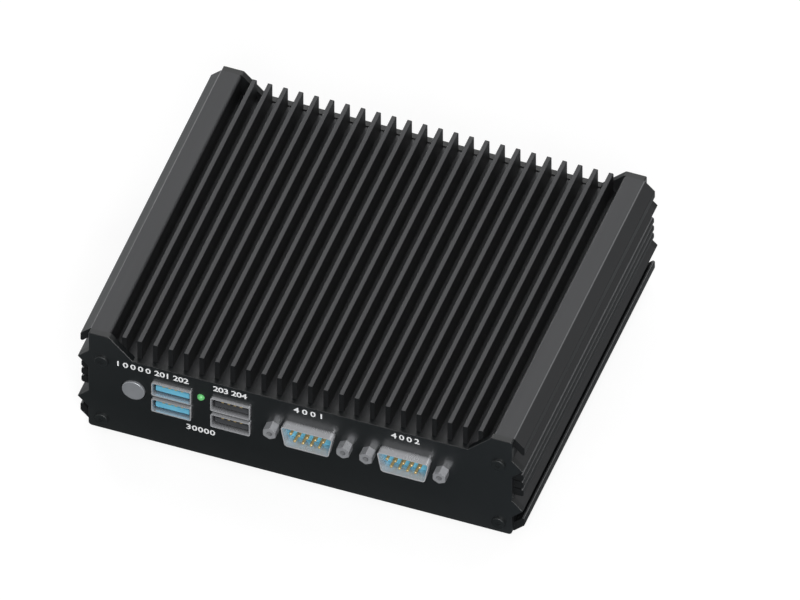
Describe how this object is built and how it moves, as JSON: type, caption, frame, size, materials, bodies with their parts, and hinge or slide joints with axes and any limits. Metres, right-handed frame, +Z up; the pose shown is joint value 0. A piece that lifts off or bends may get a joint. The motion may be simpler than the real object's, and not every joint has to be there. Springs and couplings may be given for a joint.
{
  "type": "fanless industrial pc",
  "caption": "Compact fanless computer: black finned heatsink case with flat end panels, push button, status light, stacked sockets and serial connectors.",
  "frame": {"origin": "under the middle of the case, on the surface the feet stand on", "axes": "+X along the front panel to the right seen from the front, +Y from the front panel to the rear one, +Z up"},
  "size_m": [0.1514, 0.1336, 0.0442],
  "materials": {
    "anodised_heatsink": "black anodised, satin",
    "panel_black": "black powder coat, satin",
    "screw_black": "black oxide",
    "foot_rubber": "matt",
    "button_metal": "fine blasted",
    "spring_steel": "plain zinc",
    "black_plastic": "fine moulded",
    "green_lens": "clear green, lit",
    "connector_metal": "bright nickel plate",
    "board_green": "solder mask",
    "brass_parts": "machined",
    "chip_black": "moulded",
    "pad_grey": "matt",
    "spreader_aluminium": "milled",
    "can_aluminium": "bright",
    "contact_gold": "gold plate",
    "blue_plastic": "moulded",
    "grey_plastic": "moulded"
  },
  "bodies": {
    "case": {"blue_port_contacts": "contact_gold", "blue_port_housing": "blue_plastic", "blue_port_shell": "connector_metal", "board_screws": "spring_steel", "board_standoffs": "brass_parts", "bottom_cover": "panel_black", "coin_cell": "connector_metal", "coin_cell_holder": "black_plastic", "cover_screws": "screw_black", "dc_jack_body": "black_plastic", "dc_jack_nut": "connector_metal", "dc_jack_pin": "contact_gold", "flat_video_shell": "connector_metal", "flat_video_tongue": "black_plastic", "front_panel": "panel_black", "grey_port_contacts": "contact_gold", "grey_port_housing": "grey_plastic", "grey_port_shell": "connector_metal", "heat_spreader": "spreader_aluminium", "heatsink_body": "anodised_heatsink", "jackscrews": "connector_metal", "main_board": "board_green", "memory_module": "board_green", "memory_socket": "black_plastic", "network_1_contacts": "contact_gold", "network_1_insert": "black_plastic", "network_1_shell": "connector_metal", "network_2_contacts": "contact_gold", "network_2_insert": "black_plastic", "network_2_shell": "connector_metal", "panel_screws": "screw_black", "power_button_spring": "spring_steel", "power_capacitors": "can_aluminium", "power_coils": "chip_black", "power_switch_housing": "black_plastic", "processor": "chip_black", "rear_panel": "panel_black", "rear_port_contacts": "contact_gold", "rear_port_housing": "blue_plastic", "rear_port_shell": "connector_metal", "rubber_feet": "foot_rubber", "serial_1_insulator": "blue_plastic", "serial_1_pins": "contact_gold", "serial_1_shell": "connector_metal", "serial_2_insulator": "blue_plastic", "serial_2_pins": "contact_gold", "serial_2_shell": "connector_metal", "spreader_screws": "spring_steel", "status_light_holder": "black_plastic", "status_light_lens": "green_lens", "storage_card": "board_green", "storage_post": "brass_parts", "storage_screw": "spring_steel", "storage_socket": "black_plastic", "thermal_pad": "pad_grey", "video_insulator": "blue_plastic", "video_shell": "connector_metal"},
    "power_button": {"power_button_cap": "button_metal"}
  },
  "joints": [
    {"name": "power_button_press", "type": "slide", "parent": "case", "child": "power_button", "axis": [0, 1, 0], "range_m": [0, 0.0008], "stiffness_N_per_m": 1500, "springref_m": -0.0005, "deforming": ["power_button_spring"]}
  ]
}
